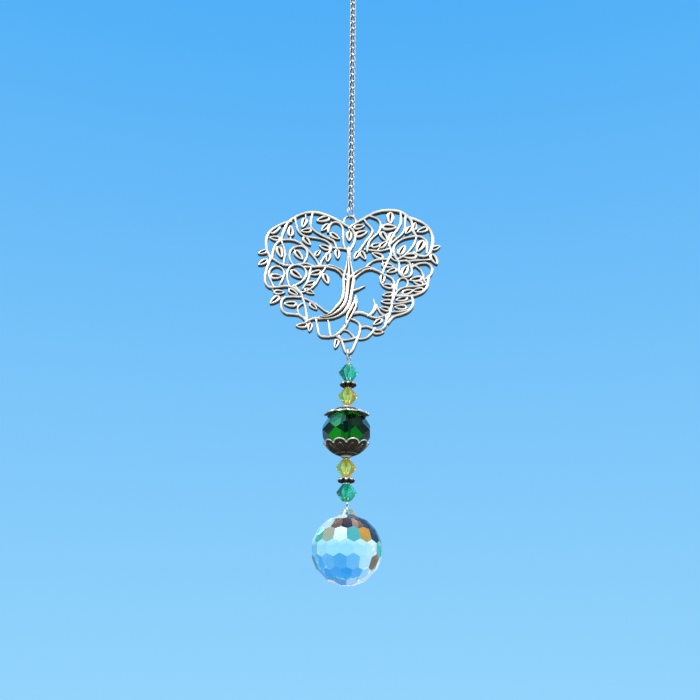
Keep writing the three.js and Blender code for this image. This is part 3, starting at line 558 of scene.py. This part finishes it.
# A leaf is [x, z, lean, length]: its middle, the lean of its midrib in degrees, and its length.
LEAVES = [
    [-24.2, 38.6, -8, 3.9], [-24.2, 41.6, 36, 4.4], [-19.2, 41.2, -88, 4.3], [-15, 44.2, 75, 4.1],
    [-14.1, 41.4, 8, 3.9], [-8.7, 45.6, 18, 5], [-13.9, 37.8, -52, 4.2], [-22.5, 33.8, -72, 4.5],
    [-16.4, 32.9, -52, 4.5], [-27.9, 33.7, 20, 3.5], [-27.7, 30.2, 32, 3.9], [-8.1, 42.6, 45, 3.9],
    [-4.9, 39.6, -35, 4.1], [-8.1, 35.6, -20, 4.1], [-7, 32.2, -95, 3.9], [-10.3, 33.6, -130, 3.2],
    [-0.3, 39.6, -90, 4.1], [-4, 33.3, -85, 3.9], [-23.3, 25.4, 0, 4.3], [-17, 26.2, -38, 4.8],
    [-10.8, 26.7, 15, 4.3], [-7.5, 24.8, -68, 4.3], [-12.5, 23.1, 18, 3.9], [-12.7, 20.4, -28, 3.7],
    [-17.8, 20.1, -30, 3.9], [-18.5, 16.1, 0, 4.5], [-22.2, 20, 0, 3.9], [-23.5, 17.4, 42, 4.3],
    [-11.3, 15.4, -42, 3.5], [-14.7, 9, 6, 4.1], [2.2, 33, 60, 3.7], [4.2, 33, -60, 3.9],
    [2.9, 43, 12, 4.1], [3.6, 40.6, 22, 4.8], [12.6, 43, 0, 5.2], [13, 46.2, 90, 4.8],
    [11, 39.6, -58, 4.5], [13.2, 39.6, 62, 3.9], [10.7, 36.8, 42, 3.9], [8.5, 36.6, 18, 3.9],
    [8.9, 33, -24, 4.3], [14.1, 32, -50, 3.2], [16.7, 35, 60, 4.5], [19.2, 32.9, 4, 5.2],
    [22.6, 36.4, 60, 5.4], [18.9, 42, 55, 3.9], [23.4, 42.1, 22, 4.3], [27.6, 35.9, 22, 3.5],
    [27, 31.9, -62, 4.5], [17.7, 28.1, 62, 4.5], [21.1, 25, 12, 4.5], [21.8, 23.7, -20, 3.9],
    [12.1, 29.6, -12, 4.3], [13.5, 27.8, 22, 3.7], [10.4, 24.8, -98, 3.9], [12.1, 22.5, -10, 4.1],
    [12.1, 19.6, 10, 3.7], [11.8, 17.2, 0, 3.9], [11.2, 14.8, -14, 3.7], [18.4, 20.6, 20, 4.3],
    [21.8, 21.2, 8, 4.1], [16.6, 18.2, 15, 4.3], [16.2, 15.4, 0, 4.3], [9.1, 7.1, 0, 3.9],
    [9, 10.4, 35, 3.8], [-12.2, 8.4, 84, 3.4], [-3.9, 3.1, 78, 3.6], [21, 43.4, 85, 3.2],
]


# The most that a vine turns, and how far it goes, from one place of its run to the next.
STEP_TURN = math.radians(14)
STEP_REACH = 2.5


def stretch(start, end):
    """Places along one arc of a vine, with the heading's unit vector at each."""
    a, b = Vector(start[:2]), Vector(end[:2])
    turn = math.radians((end[2] - start[2] + 540) % 360 - 180)
    reach = (b - a).length
    handle = reach / (3 * math.cos(turn / 4) ** 2)
    way = [Vector((math.cos(math.radians(h)), math.sin(math.radians(h)))) for h in (start[2], end[2])]
    p = [a, a + way[0] * handle, b - way[1] * handle, b]
    steps = max(2, math.ceil(abs(turn) / STEP_TURN), math.ceil(reach / STEP_REACH))
    run = []
    for s in range(steps + 1):
        t = s / steps
        u = 1 - t
        at = p[0] * u ** 3 + p[1] * 3 * u * u * t + p[2] * 3 * u * t * t + p[3] * t ** 3
        along = (p[1] - p[0]) * u * u + (p[2] - p[1]) * 2 * u * t + (p[3] - p[2]) * t * t
        run.append((at, along.normalized(), t))
    return run


def vine_run(spec):
    """A vine's places, headings and half widths."""
    width, places = spec[0], spec[1:]
    run = []
    for start, end in zip(places, places[1:]):
        first = start[3] if len(start) > 3 else width
        last = end[3] if len(end) > 3 else width
        for at, along, t in stretch(start, end)[1 if run else 0:]:
            run.append((at, along, (first + (last - first) * t) / 2))
    return run


# A strand's section, from the middle of its back round one side to the middle of its front: how far across,
# how far forward, and the tarnish that stays there, which on the sides is tarnish and painted shade together.
# The other side is the same.
SIDE = [
    (0.75, 0.0, 0.35), (1.0, 0.1, 0.55), (1.0, 0.6, 0.5),
    (0.95, 0.8, 0.2), (0.72, 0.94, 0.03), (0.32, 1.0, 0.0),
]
STRAND = SIDE + [(-across, depth, stays) for across, depth, stays in reversed(SIDE)]
# How a strand's end rounds off: how far beyond its last place, and how wide it is there.
END = [(0.95, 0.45), (0.6, 0.8)]
END_FALL = 0.35  # how far the front falls back where the width comes down to nothing


def strand(casting, run, front, grime=lambda half: 0.0):
    """Skins one strand along a run of places; grime(half width) is tarnish laid on its front."""

    def rounded(end, way):
        at, along, half = end
        return [(at + along * way * out * half, along, half * wide, wide) for out, wide in END]

    shaped = rounded(run[0], -1) + [(*spot, 1.0) for spot in run] + rounded(run[-1], 1)[::-1]
    rings, tarnishes = [], []
    for at, along, half, wide in shaped:
        thick = BACK + front - (1 - wide) * END_FALL
        ring = []
        for across, depth, _ in STRAND:
            x = at.x - along.y * across * half
            z = at.y + along.x * across * half
            ring.append((x, BACK - thick * depth, z))
        rings.append(ring)
        laid = grime(half)
        tarnishes.append([stays + (laid if depth > 0.5 else 0.0) for _, depth, stays in STRAND])
    casting.skin(rings, tarnishes)


def nearest_on(runs, place):
    """The one of the runs' places that is nearest to a place."""
    return min((at for run in runs for at, _, _ in run), key=lambda at: (at - place).length)


# A leaf's layers, from its back over its soft rim and down into the slit: shares of its length and width,
# place in depth, and tarnish, which on the rim's sides is tarnish and painted shade together.
LEAF_LAYERS = [
    (0.97, 0.95, BACK, 0.4), (1.0, 1.0, BACK - 0.15, 0.6), (1.0, 1.0, -0.45, 0.45), (0.96, 0.92, -0.72, 0.1),
    (0.86, 0.72, -0.86, 0.0), (0.72, 0.36, -0.84, 0.0), (0.64, 0.2, -0.7, 0.5), (0.6, 0.13, -0.1, 1.3),
]
LEAF_SIDES = 18
LEAF_WIDTH = 0.345  # half width as a share of the length, before the shape narrows it
STALK = (0.34, 0.24)  # half widths of a leaf's stalk at the vine and under the leaf


def leaf(casting, spec, runs):
    """A pointed leaf with a soft rim and a slit for its vein, on a stalk from the nearest vine."""
    x, z, lean, length = spec
    centre = Vector((x, z))
    axis = Vector((math.cos(math.radians(lean)), math.sin(math.radians(lean))))
    tips = [centre - axis * length / 2, centre + axis * length / 2]
    roots = [nearest_on(runs, tip) for tip in tips]
    tail = 0 if (roots[0] - tips[0]).length <= (roots[1] - tips[1]).length else 1
    along = axis if tail == 0 else -axis
    across = Vector((-along.y, along.x))
    rings = []
    for long, wide, depth, _ in LEAF_LAYERS:
        ring = []
        for i in range(LEAF_SIDES):
            t = 2 * math.pi * i / LEAF_SIDES
            u = math.cos(t)
            v = math.sin(t) * (0.80 - 0.28 * u) * (1.0 if abs(u) < 0.9 else 0.8)
            at = centre + along * u * long * length / 2 + across * v * wide * length * LEAF_WIDTH
            ring.append((at.x, depth, at.y))
        rings.append(ring)
    casting.skin(rings, [[layer[3]] * LEAF_SIDES for layer in LEAF_LAYERS])
    root, foot = roots[tail], centre - along * length * 0.36
    if (root - foot).length > 0.3:
        way = (foot - root).normalized()
        strand(casting, [(root, way, STALK[0]), (foot, way, STALK[1])], STALK_FRONT)


# For each trunk that carries bark, its ridges: how far across and how wide, as shares of the half width.
BARK = [
    [(-0.76, 0.27), (-0.08, 0.3), (0.68, 0.3)], [(-0.5, 0.4), (0.56, 0.34)], [(-0.55, 0.4), (0.5, 0.4)],
    [(-0.5, 0.4), (0.55, 0.4)],
]


def bark(casting, run, ridges):
    """Ridges of bark along the broad part of a trunk's run, each waving a little."""
    broad = [spot for spot in run if spot[2] > BARK_LEAST]
    for offset, share in ridges:
        places = []
        for i, (at, along, half) in enumerate(broad):
            shift = (offset + 0.07 * math.sin(0.9 * i + 7 * offset)) * half
            places.append((at + Vector((-along.y, along.x)) * shift, along, share * half))
        strand(casting, places, BARK_FRONT - 0.2 * abs(offset))


def trunk_grime(half):
    """Tarnish on a trunk's front, between its ridges of bark."""
    return min(1.0, max(0.0, 4.0 * (half - BARK_TARNISH)))


def heart_eye(casting):
    """The round eye at the top, which the jump ring goes through."""
    rings = []
    for i in range(36):
        t = 2 * math.pi * i / 36
        ring = []
        for k in range(12):
            turn = 2 * math.pi * k / 12
            out = EYE["radius"] + EYE["half"] * math.cos(turn)
            x, z = EYE["x"] + out * math.cos(t), EYE["height"] + out * math.sin(t)
            ring.append((x, EYE["depth"] * math.sin(turn), z))
        rings.append(ring)
    casting.skin(rings, [0.1] * 12, loop=True)


def tree_heart():
    """The whole casting: vines, trunks with their bark, leaves on their stalks, and the eye."""
    casting = Casting()
    vines = [vine_run(spec) for spec in RIM + CROWN_LEFT + CROWN_RIGHT + ROOTS]
    trunks = [vine_run(spec) for spec in TRUNK]
    for i, run in enumerate(vines):
        strand(casting, run, VINE_FRONT + VINE_LAP * (i % 5))
    for run in trunks:
        strand(casting, run, TRUNK_FRONT, trunk_grime)
    for run, ridges in zip(trunks, BARK):
        bark(casting, run, ridges)
    for spec in LEAVES:
        leaf(casting, spec, vines + trunks)
    heart_eye(casting)
    return casting.piece("heart_casting", (HEART_SHIFT, 0.0, HEART_TIP))


heart = tree_heart()
outward(heart)
dress(heart, cast_silver, "tree_heart", smooth=50)


# ---------------------------------------------------------------- eye pin
THREADED = ("teal_bicone_upper", "spacer_upper", "yellow_bicone_upper", "green_bead", "yellow_bicone_lower",
            "spacer_lower", "teal_bicone_lower")
# The pin's last bend, through the hole in the crystal's neck and up behind, as (forward, up) from that hole.
NECK_BEND = [
    (0, 2.75), (0.75, 2.1), (1.5, 1.3), (1.45, 0.35), (0.85, 0),
    (-0.85, 0), (-1.45, 0.35), (-1.5, 1.3), (-0.95, 2),
]


def eye_pin():
    """One wire: the eye round the heart's tip, the shank through the beads, and the bend round the neck."""
    eye = HEART_TIP - PIN_EYE_DROP
    points = []
    for i in range(12):
        turn = math.radians(-62 + i * 27)
        drift = 0.2 - 0.07 * i
        points.append(Vector((drift, PIN_EYE * math.cos(turn), eye + PIN_EYE * math.sin(turn))))
    points.append(Vector((-0.01, 0, eye - PIN_EYE - 0.9)))
    for node in THREADED:
        points.append(middle(node))
    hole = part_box("crystal_ball")[1].z / MM - NECK_DROP
    for forward, up in NECK_BEND:
        points.append(Vector((0, -forward, hole + up)))
    return wire("pin_wire", smooth_run(points, 6), PIN_WIRE, sides=4)


pin = eye_pin()
tarnish(pin, 0.06)
dress(pin, wire_silver, "eye_pin", smooth=60)


# ---------------------------------------------------------------- cut glass
def cut_stone(node, name, edge, material, rows):
    """A stone with its CAD facets whole and their edges softened; the rows give each facet its shade, painted
    light and shade.
    """
    source = bpy.data.objects[node]
    stone = source.copy()
    stone.data = source.data.copy()
    stone.name = name
    stone.data.name = name
    bpy.context.collection.objects.link(stone)
    only(stone)
    bpy.ops.object.mode_set(mode="EDIT")
    bpy.ops.mesh.select_all(action="SELECT")
    bpy.ops.mesh.remove_doubles(threshold=2e-6)
    bpy.ops.mesh.dissolve_limited(angle_limit=math.radians(2))
    bpy.ops.object.mode_set(mode="OBJECT")
    apply(stone, "BEVEL", width=edge * MM, segments=2, limit_method="ANGLE", angle_limit=math.radians(8))
    apply(stone, "TRIANGULATE")
    outward(stone)
    layer = stone.data.attributes.new("shade", "FLOAT", "FACE")
    layer.data.foreach_set("value", [shade_of(face.normal, rows) for face in stone.data.polygons])
    dress(stone, material, node, smooth=0)


# A stone's rows of facets, from the top down: the least height of their normals, the share of a turn at which
# the row starts, and a shade for each facet, from the front round to the right. The shades are painted light:
# facets lighter where light would fall or glint, and darker where shade would lie.
TEAL_ROWS = [
    (0.9, 0, [0.3] * 6),
    (0.0, 0, [0.72, 1.0, 0.7, 0.6, 0.25, 0.0]),
    (-0.9, 0, [0.8, 0.5, 0.35, 0.6, 0.1, 0.1]),
    (-1.1, 0, [0.3] * 6),
]
PERIDOT_ROWS = [
    (0.9, 0, [0.4] * 6),
    (0.0, 0, [0.8, 0.3, 0.5, 0.8, 0.7, 0.62]),
    (-0.9, 0, [1.0, 0.36, 0.5, 0.85, 0.45, 0.7]),
    (-1.1, 0, [0.4] * 6),
]
EMERALD_ROWS = [
    (0.7, 0, [0.3] * 8),
    (0.3, 0.45 / 8, [0.1, 0.02, 0.3, 0.3, 0.3, 0.25, 0.75, 0.95]),
    (-0.3, 0, [0.2, 0.45, 0.05, 0.7, 0.75, 0.3, 0.2, 0.35, 0.35, 0.4, 0.25, 0.2, 0.1, 0.05, 0.1, 0.4]),
    (-0.7, 0.45 / 8, [0.38, 0.1, 0.2, 0.5, 0.45, 0.3, 0.05, 0.5]),
    (-1.1, 0, [0.3] * 8),
]
FAR = [0.95, 0.8, 0.95, 0.9, 0.95, 0.8, 0.95]  # the far side of a row of sixteen
# Painted reflections and painted glints on clear crystal, facet by facet.
CRYSTAL_ROWS = [
    (0.97, 0, [0.8]),
    (0.8, 1 / 16, [0.0, 0.0, 0.6, 0.9, 0.9, 0.9, 1.0, 0.95]),
    (0.5, 0, [0.0, 0.02, 0.0, 0.0, 0.0, *FAR, 1.0, 0.95, 0.9, 0.02]),
    (0.2, 1 / 32, [0.43, 0.17, 0.0, 0.0, 0.9, *FAR, 0.95, 0.4, 0.32, 0.95]),
    (-0.2, 0, [0.83, 0.9, 1.0, 0.4, 0.0, *FAR, 0.0, 0.66, 0.8, 0.84]),
    (-0.5, 1 / 32, [0.68, 0.97, 0.05, 0.9, 0.9, *FAR, 0.0, 0.62, 0.66, 0.63]),
    (-0.8, 0, [0.6, 0.64, 0.9, 1.0, 0.3, *FAR, 0.9, 0.6, 0.58, 0.62]),
    (-0.97, 1 / 16, [1.0, 0.9, 0.95, 0.95, 0.95, 0.95, 1.0, 0.62]),
    (-1.1, 0, [0.95]),
]


def shade_of(normal, rows):
    """A facet's shade, painted light and shade, from its row and the way that it faces."""
    start, shades = next((start, shades) for least, start, shades in rows if normal.z >= least)
    turn = math.degrees(math.atan2(normal.x, -normal.y)) / 360 - start
    return shades[round(turn * len(shades)) % len(shades)]


for end in ("upper", "lower"):
    cut_stone(f"teal_bicone_{end}", f"teal_stone_{end}", EDGE["bicone"], teal_glass, TEAL_ROWS)
for end in ("upper", "lower"):
    stone = f"peridot_stone_{end}"
    cut_stone(f"yellow_bicone_{end}", stone, EDGE["bicone"], peridot_glass, PERIDOT_ROWS)
cut_stone("green_bead", "emerald_stone", EDGE["bead"], emerald_glass, EMERALD_ROWS)
cut_stone("crystal_ball", "crystal_stone", EDGE["crystal"], crystal_glass, CRYSTAL_ROWS)


# ---------------------------------------------------------------- daisy spacers
def collar(centre, radius, half, sides, tall=1.0):
    """A ring that lies round the pin, in millimetres; tall is its height as a share of its width."""
    bpy.ops.object.select_all(action="DESELECT")
    bpy.ops.mesh.primitive_torus_add(
        major_segments=sides, minor_segments=12, major_radius=radius * MM, minor_radius=half * MM,
        location=centre * MM,
    )
    made = bpy.context.object
    made.scale = (1, 1, tall)
    settle(made)
    return made


def petal(centre, turn):
    """One of a daisy's round petals, a little taller than it is wide."""
    bpy.ops.object.select_all(action="DESELECT")
    bpy.ops.mesh.primitive_uv_sphere_add(segments=18, ring_count=12, radius=DAISY["petal"] * MM)
    made = bpy.context.object
    made.scale = PETAL_SHAPE
    made.rotation_euler = (0, 0, turn)
    made.location = (centre + Vector((math.cos(turn), math.sin(turn), 0)) * DAISY["out"]) * MM
    settle(made)
    return made


def daisy(node, name):
    """A spacer of round petals about a collar, dark between the petals and inside, with painted shade below.
    """
    centre = middle(node)
    step = 2 * math.pi / DAISY["petals"]
    parts = [petal(centre, step * i) for i in range(DAISY["petals"])]
    parts.append(collar(centre, DAISY["collar"], DAISY["collar_half"], 32, DAISY["collar_tall"]))
    piece = join(name, parts)
    outward(piece)

    def patina_and_painted_shade(corner):
        away = corner - centre
        turn = math.atan2(away.y, away.x) / step
        between = abs(turn - round(turn)) * 2
        # Painted shade: the lower part of the spacer is painted darker.
        low = max(0.0, 0.42 - away.z) * 1.3
        inside = 0.8 if math.hypot(away.x, away.y) < 1.7 else 0.0
        return max(0.0, between - 0.4) * 2 + low + inside

    tarnish(piece, patina_and_painted_shade)
    dress(piece, cast_silver, node, smooth=60)


daisy("spacer_upper", "daisy_upper")
daisy("spacer_lower", "daisy_lower")


# ---------------------------------------------------------------- bead caps
WIRE_LIFT = 0.05  # the middle of the filigree's wires stands this far off the dome
# The filigree's wires, and the hoops by their degrees from the neck: thickness and tarnish.
RIM_WIRE = (0.5, -0.1)
ARCH_WIRE = (0.16, 0.45)
LEG_WIRE = (0.14, 0.5)
RIB_WIRE = (0.15, 0.45)
BORDER_WIRE = (0.18, 0.45)
HOOPS = {12: (0.5, 0.2), 26: (0.2, 0.2)}
# Shares of a scallop's step, from its middle: how far its rim and its arch reach to each side.
RIM_REACH = 0.485
ARCH_REACH = 0.33


class Cap:
    """A bead cap's dome, above (side 1) or below (side -1) the bead's middle, with its scalloped edge."""

    def __init__(self, side, low, high, flare):
        self.centre = Vector((middle("bead_cap_upper").x, 0, middle("green_bead").z))
        self.side = side
        self.low, self.high, self.flare = low, high, flare
        self.step = 360 / CAP["scallops"]

    def at(self, radius, polar, turn):
        """A place on the dome: polar degrees from its neck, turn degrees round it."""
        p, t = math.radians(polar), math.radians(turn)
        reach = radius + self.flare * (polar / self.high) ** 3
        return self.centre + Vector((
            reach * math.sin(p) * math.cos(t),
            reach * math.sin(p) * math.sin(t) * self.side,
            reach * math.cos(p) * self.side,
        ))

    def edge(self, turn):
        """How far down the scalloped edge lies at a turn."""
        across = (turn / self.step + 0.5) % 1.0 * 2 - 1
        return self.low + (self.high - self.low) * math.sqrt(max(0.0, 1 - across * across))

    def shell(self, name):
        """The dome itself, thin and all dark, with its scalloped edge."""
        inside, outside = CAP["inside"], CAP["inside"] + CAP["wall"]
        casting = Casting()
        around = CAP["scallops"] * 12
        rings = []
        for i in range(around):
            turn = 360 * i / around
            edge = self.edge(turn)
            ring = [self.at(inside, 6 + (edge - 6) * s / 6, turn) for s in range(7)]
            ring += [self.at(outside, edge - (edge - 9) * s / 6, turn) for s in range(7)]
            rings.append(ring)
        casting.skin(rings, [2.0] * 14, loop=True)
        return casting.piece(f"{name}_shell")

    def lines(self):
        """The filigree as (points, thickness, tarnish): each scallop's rim, arch, legs, rib and border."""
        lift = CAP["inside"] + CAP["wall"] + WIRE_LIFT
        reach = self.low - 4
        shares = [s / 12 - 1 for s in range(25)]
        made = []
        for k in range(CAP["scallops"]):
            front = self.step * k
            rim, arch = [], []
            for v in shares:
                turn = front + v * self.step * RIM_REACH
                rim.append(self.at(lift, self.edge(turn) - 0.6, turn))
                down = reach - 9 + 15 * math.cos(math.pi / 2 * v)
                arch.append(self.at(lift, down, front + v * self.step * ARCH_REACH))
            made += [(rim, *RIM_WIRE), (arch, *ARCH_WIRE)]
            for side in (-ARCH_REACH, ARCH_REACH):
                leg = [self.at(lift, 16 + (reach - 25) * s / 6, front + side * self.step) for s in range(7)]
                made.append((leg, *LEG_WIRE))
            rib = [self.at(lift, 14 + (reach - 8) * s / 9, front) for s in range(10)]
            border = [self.at(lift, 12 + (reach - 8) * s / 9, front + self.step / 2) for s in range(10)]
            made += [(rib, *RIB_WIRE), (border, *BORDER_WIRE)]
        return made


def bead_cap(node, name, side, edge):
    """A cap: its dome, the filigree and two hoops on it, and a collar at its neck."""
    cap = Cap(side, **edge)
    outside = CAP["inside"] + CAP["wall"]
    parts = [cap.shell(name)]
    for points, thickness, patina_and_painted_shade in cap.lines():
        made = wire(f"{name}_line", points, thickness, sides=1)
        tarnish(made, patina_and_painted_shade)
        parts.append(made)
    for polar, (thickness, patina_and_painted_shade) in HOOPS.items():
        hoop = [cap.at(outside + WIRE_LIFT, polar, 7.5 * i) for i in range(48)]
        made = wire(f"{name}_hoop", hoop, thickness, loop=True, sides=1)
        tarnish(made, patina_and_painted_shade)
        parts.append(made)
    neck = cap.centre + Vector((0, 0, side * (outside + 0.16)))
    made = collar(neck, CAP["collar"], CAP["collar_half"], 36)
    tarnish(made, 0.0)
    parts.append(made)
    piece = join(name, parts)
    outward(piece)
    dress(piece, cast_silver, node, smooth=50)


bead_cap("bead_cap_upper", "filigree_cap_upper", 1, CAP_ABOVE)
bead_cap("bead_cap_lower", "filigree_cap_lower", -1, CAP_BELOW)


# ---------------------------------------------------------------- studio and camera, in metres
FLOOR_HEIGHT = -0.62
FLOOR_WIDTH = 3.0
AIM = Vector((0, 0, -0.13))  # where the lamps point
# The air's colours from low to high, behind the part and on the camera's side.
SKY = [
    (0.0, (0.02, 0.03, 0.035)), (0.12, (0.05, 0.06, 0.04)), (0.17, (0.80, 0.90, 0.98)),
    (0.31, (0.30, 0.67, 0.98)), (0.77, (0.08, 0.43, 0.93)), (0.85, (0.03, 0.30, 0.82)),
    (1.0, (0.01, 0.16, 0.62)),
]
ROOM = [
    (0.0, (0.07, 0.07, 0.07)), (0.4, (0.14, 0.14, 0.13)), (0.52, (0.62, 0.62, 0.60)),
    (0.62, (1.0, 1.0, 0.98)), (1.0, (1.0, 1.0, 1.0)),
]
LOW_AIR = -0.6
HIGH_SKY = 1.0
HIGH_ROOM = 0.6
CAMERA = {"aside": 0.00028, "away": 0.259, "below_tip": 0.080, "lens": 45.0, "sensor": 36.0}
CAMERA_PITCH = math.radians(17.43)
CAMERA_ROLL = math.radians(0.65)


def floor():
    """A wide pale floor far below the part."""
    bpy.ops.object.select_all(action="DESELECT")
    bpy.ops.mesh.primitive_plane_add(size=1.0, location=(0, 0, FLOOR_HEIGHT))
    made = bpy.context.object
    made.name = "studio_floor"
    made.scale = (FLOOR_WIDTH, FLOOR_WIDTH, 1.0)
    settle(made)
    paint = Shader(bpy.data.materials.new("pale_floor"))
    made.data.materials.append(paint.finish(Base_Color=(0.72, 0.74, 0.75, 1.0), Roughness=0.9))


def air():
    """The light all round, which the silver mirrors and the glass lets through: sky behind, a room before."""
    shader = Shader(bpy.data.worlds.new("studio_air"), "Background")
    place = shader.node("ShaderNodeTexCoord", output="Generated")
    height = shader.node("ShaderNodeSeparateXYZ", {}, {"Vector": place}, output="Z")
    depth = shader.node("ShaderNodeSeparateXYZ", {}, {"Vector": place}, output="Y")
    sky = shader.ramp(shader.between(height, LOW_AIR, HIGH_SKY), SKY)
    room = shader.ramp(shader.between(height, LOW_AIR, HIGH_ROOM), ROOM)
    colour = shader.blend(shader.between(depth, -0.35, 0.45), room, sky)
    bpy.context.scene.world = shader.finish(Color=colour)


def softbox(name, place, width, radiance, tint=(1.0, 1.0, 1.0)):
    """A round soft lamp; its power follows from its width and how bright it looks."""
    bpy.ops.object.select_all(action="DESELECT")
    bpy.ops.object.light_add(type="AREA", location=place)
    lamp = bpy.context.object
    lamp.name = name
    lamp.data.shape = "DISK"
    lamp.data.size = width
    lamp.data.energy = radiance * math.pi * math.pi * width * width / 4
    lamp.data.color = tint
    lamp.rotation_euler = (AIM - Vector(place)).to_track_quat("-Z", "Y").to_euler()


def camera():
    """Close in front, looking up a little along the part."""
    place = (CAMERA["aside"], -CAMERA["away"], HEART_TIP * MM - CAMERA["below_tip"])
    bpy.ops.object.select_all(action="DESELECT")
    bpy.ops.object.camera_add(location=place)
    made = bpy.context.object
    made.data.lens = CAMERA["lens"]
    made.data.sensor_width = CAMERA["sensor"]
    made.data.clip_start = 0.01
    made.rotation_mode = "QUATERNION"
    look = Vector((0, math.cos(CAMERA_PITCH), math.sin(CAMERA_PITCH)))
    roll = Matrix.Rotation(CAMERA_ROLL, 4, "Z").to_quaternion()
    made.rotation_quaternion = look.to_track_quat("-Z", "Y") @ roll
    bpy.context.scene.camera = made


camera()
floor()
air()
softbox("key_softbox", (-0.75, -0.85, 0.8), 0.7, 7.0, (1.0, 0.985, 0.95))
softbox("front_softbox", (0.6, -1.2, 0.25), 0.6, 2.0)
softbox("top_softbox", (0.1, 0.15, 0.85), 0.6, 3.0)
softbox("back_softbox", (0.9, 0.9, 0.5), 0.4, 3.0)
bpy.context.scene.view_settings.view_transform = "Standard"
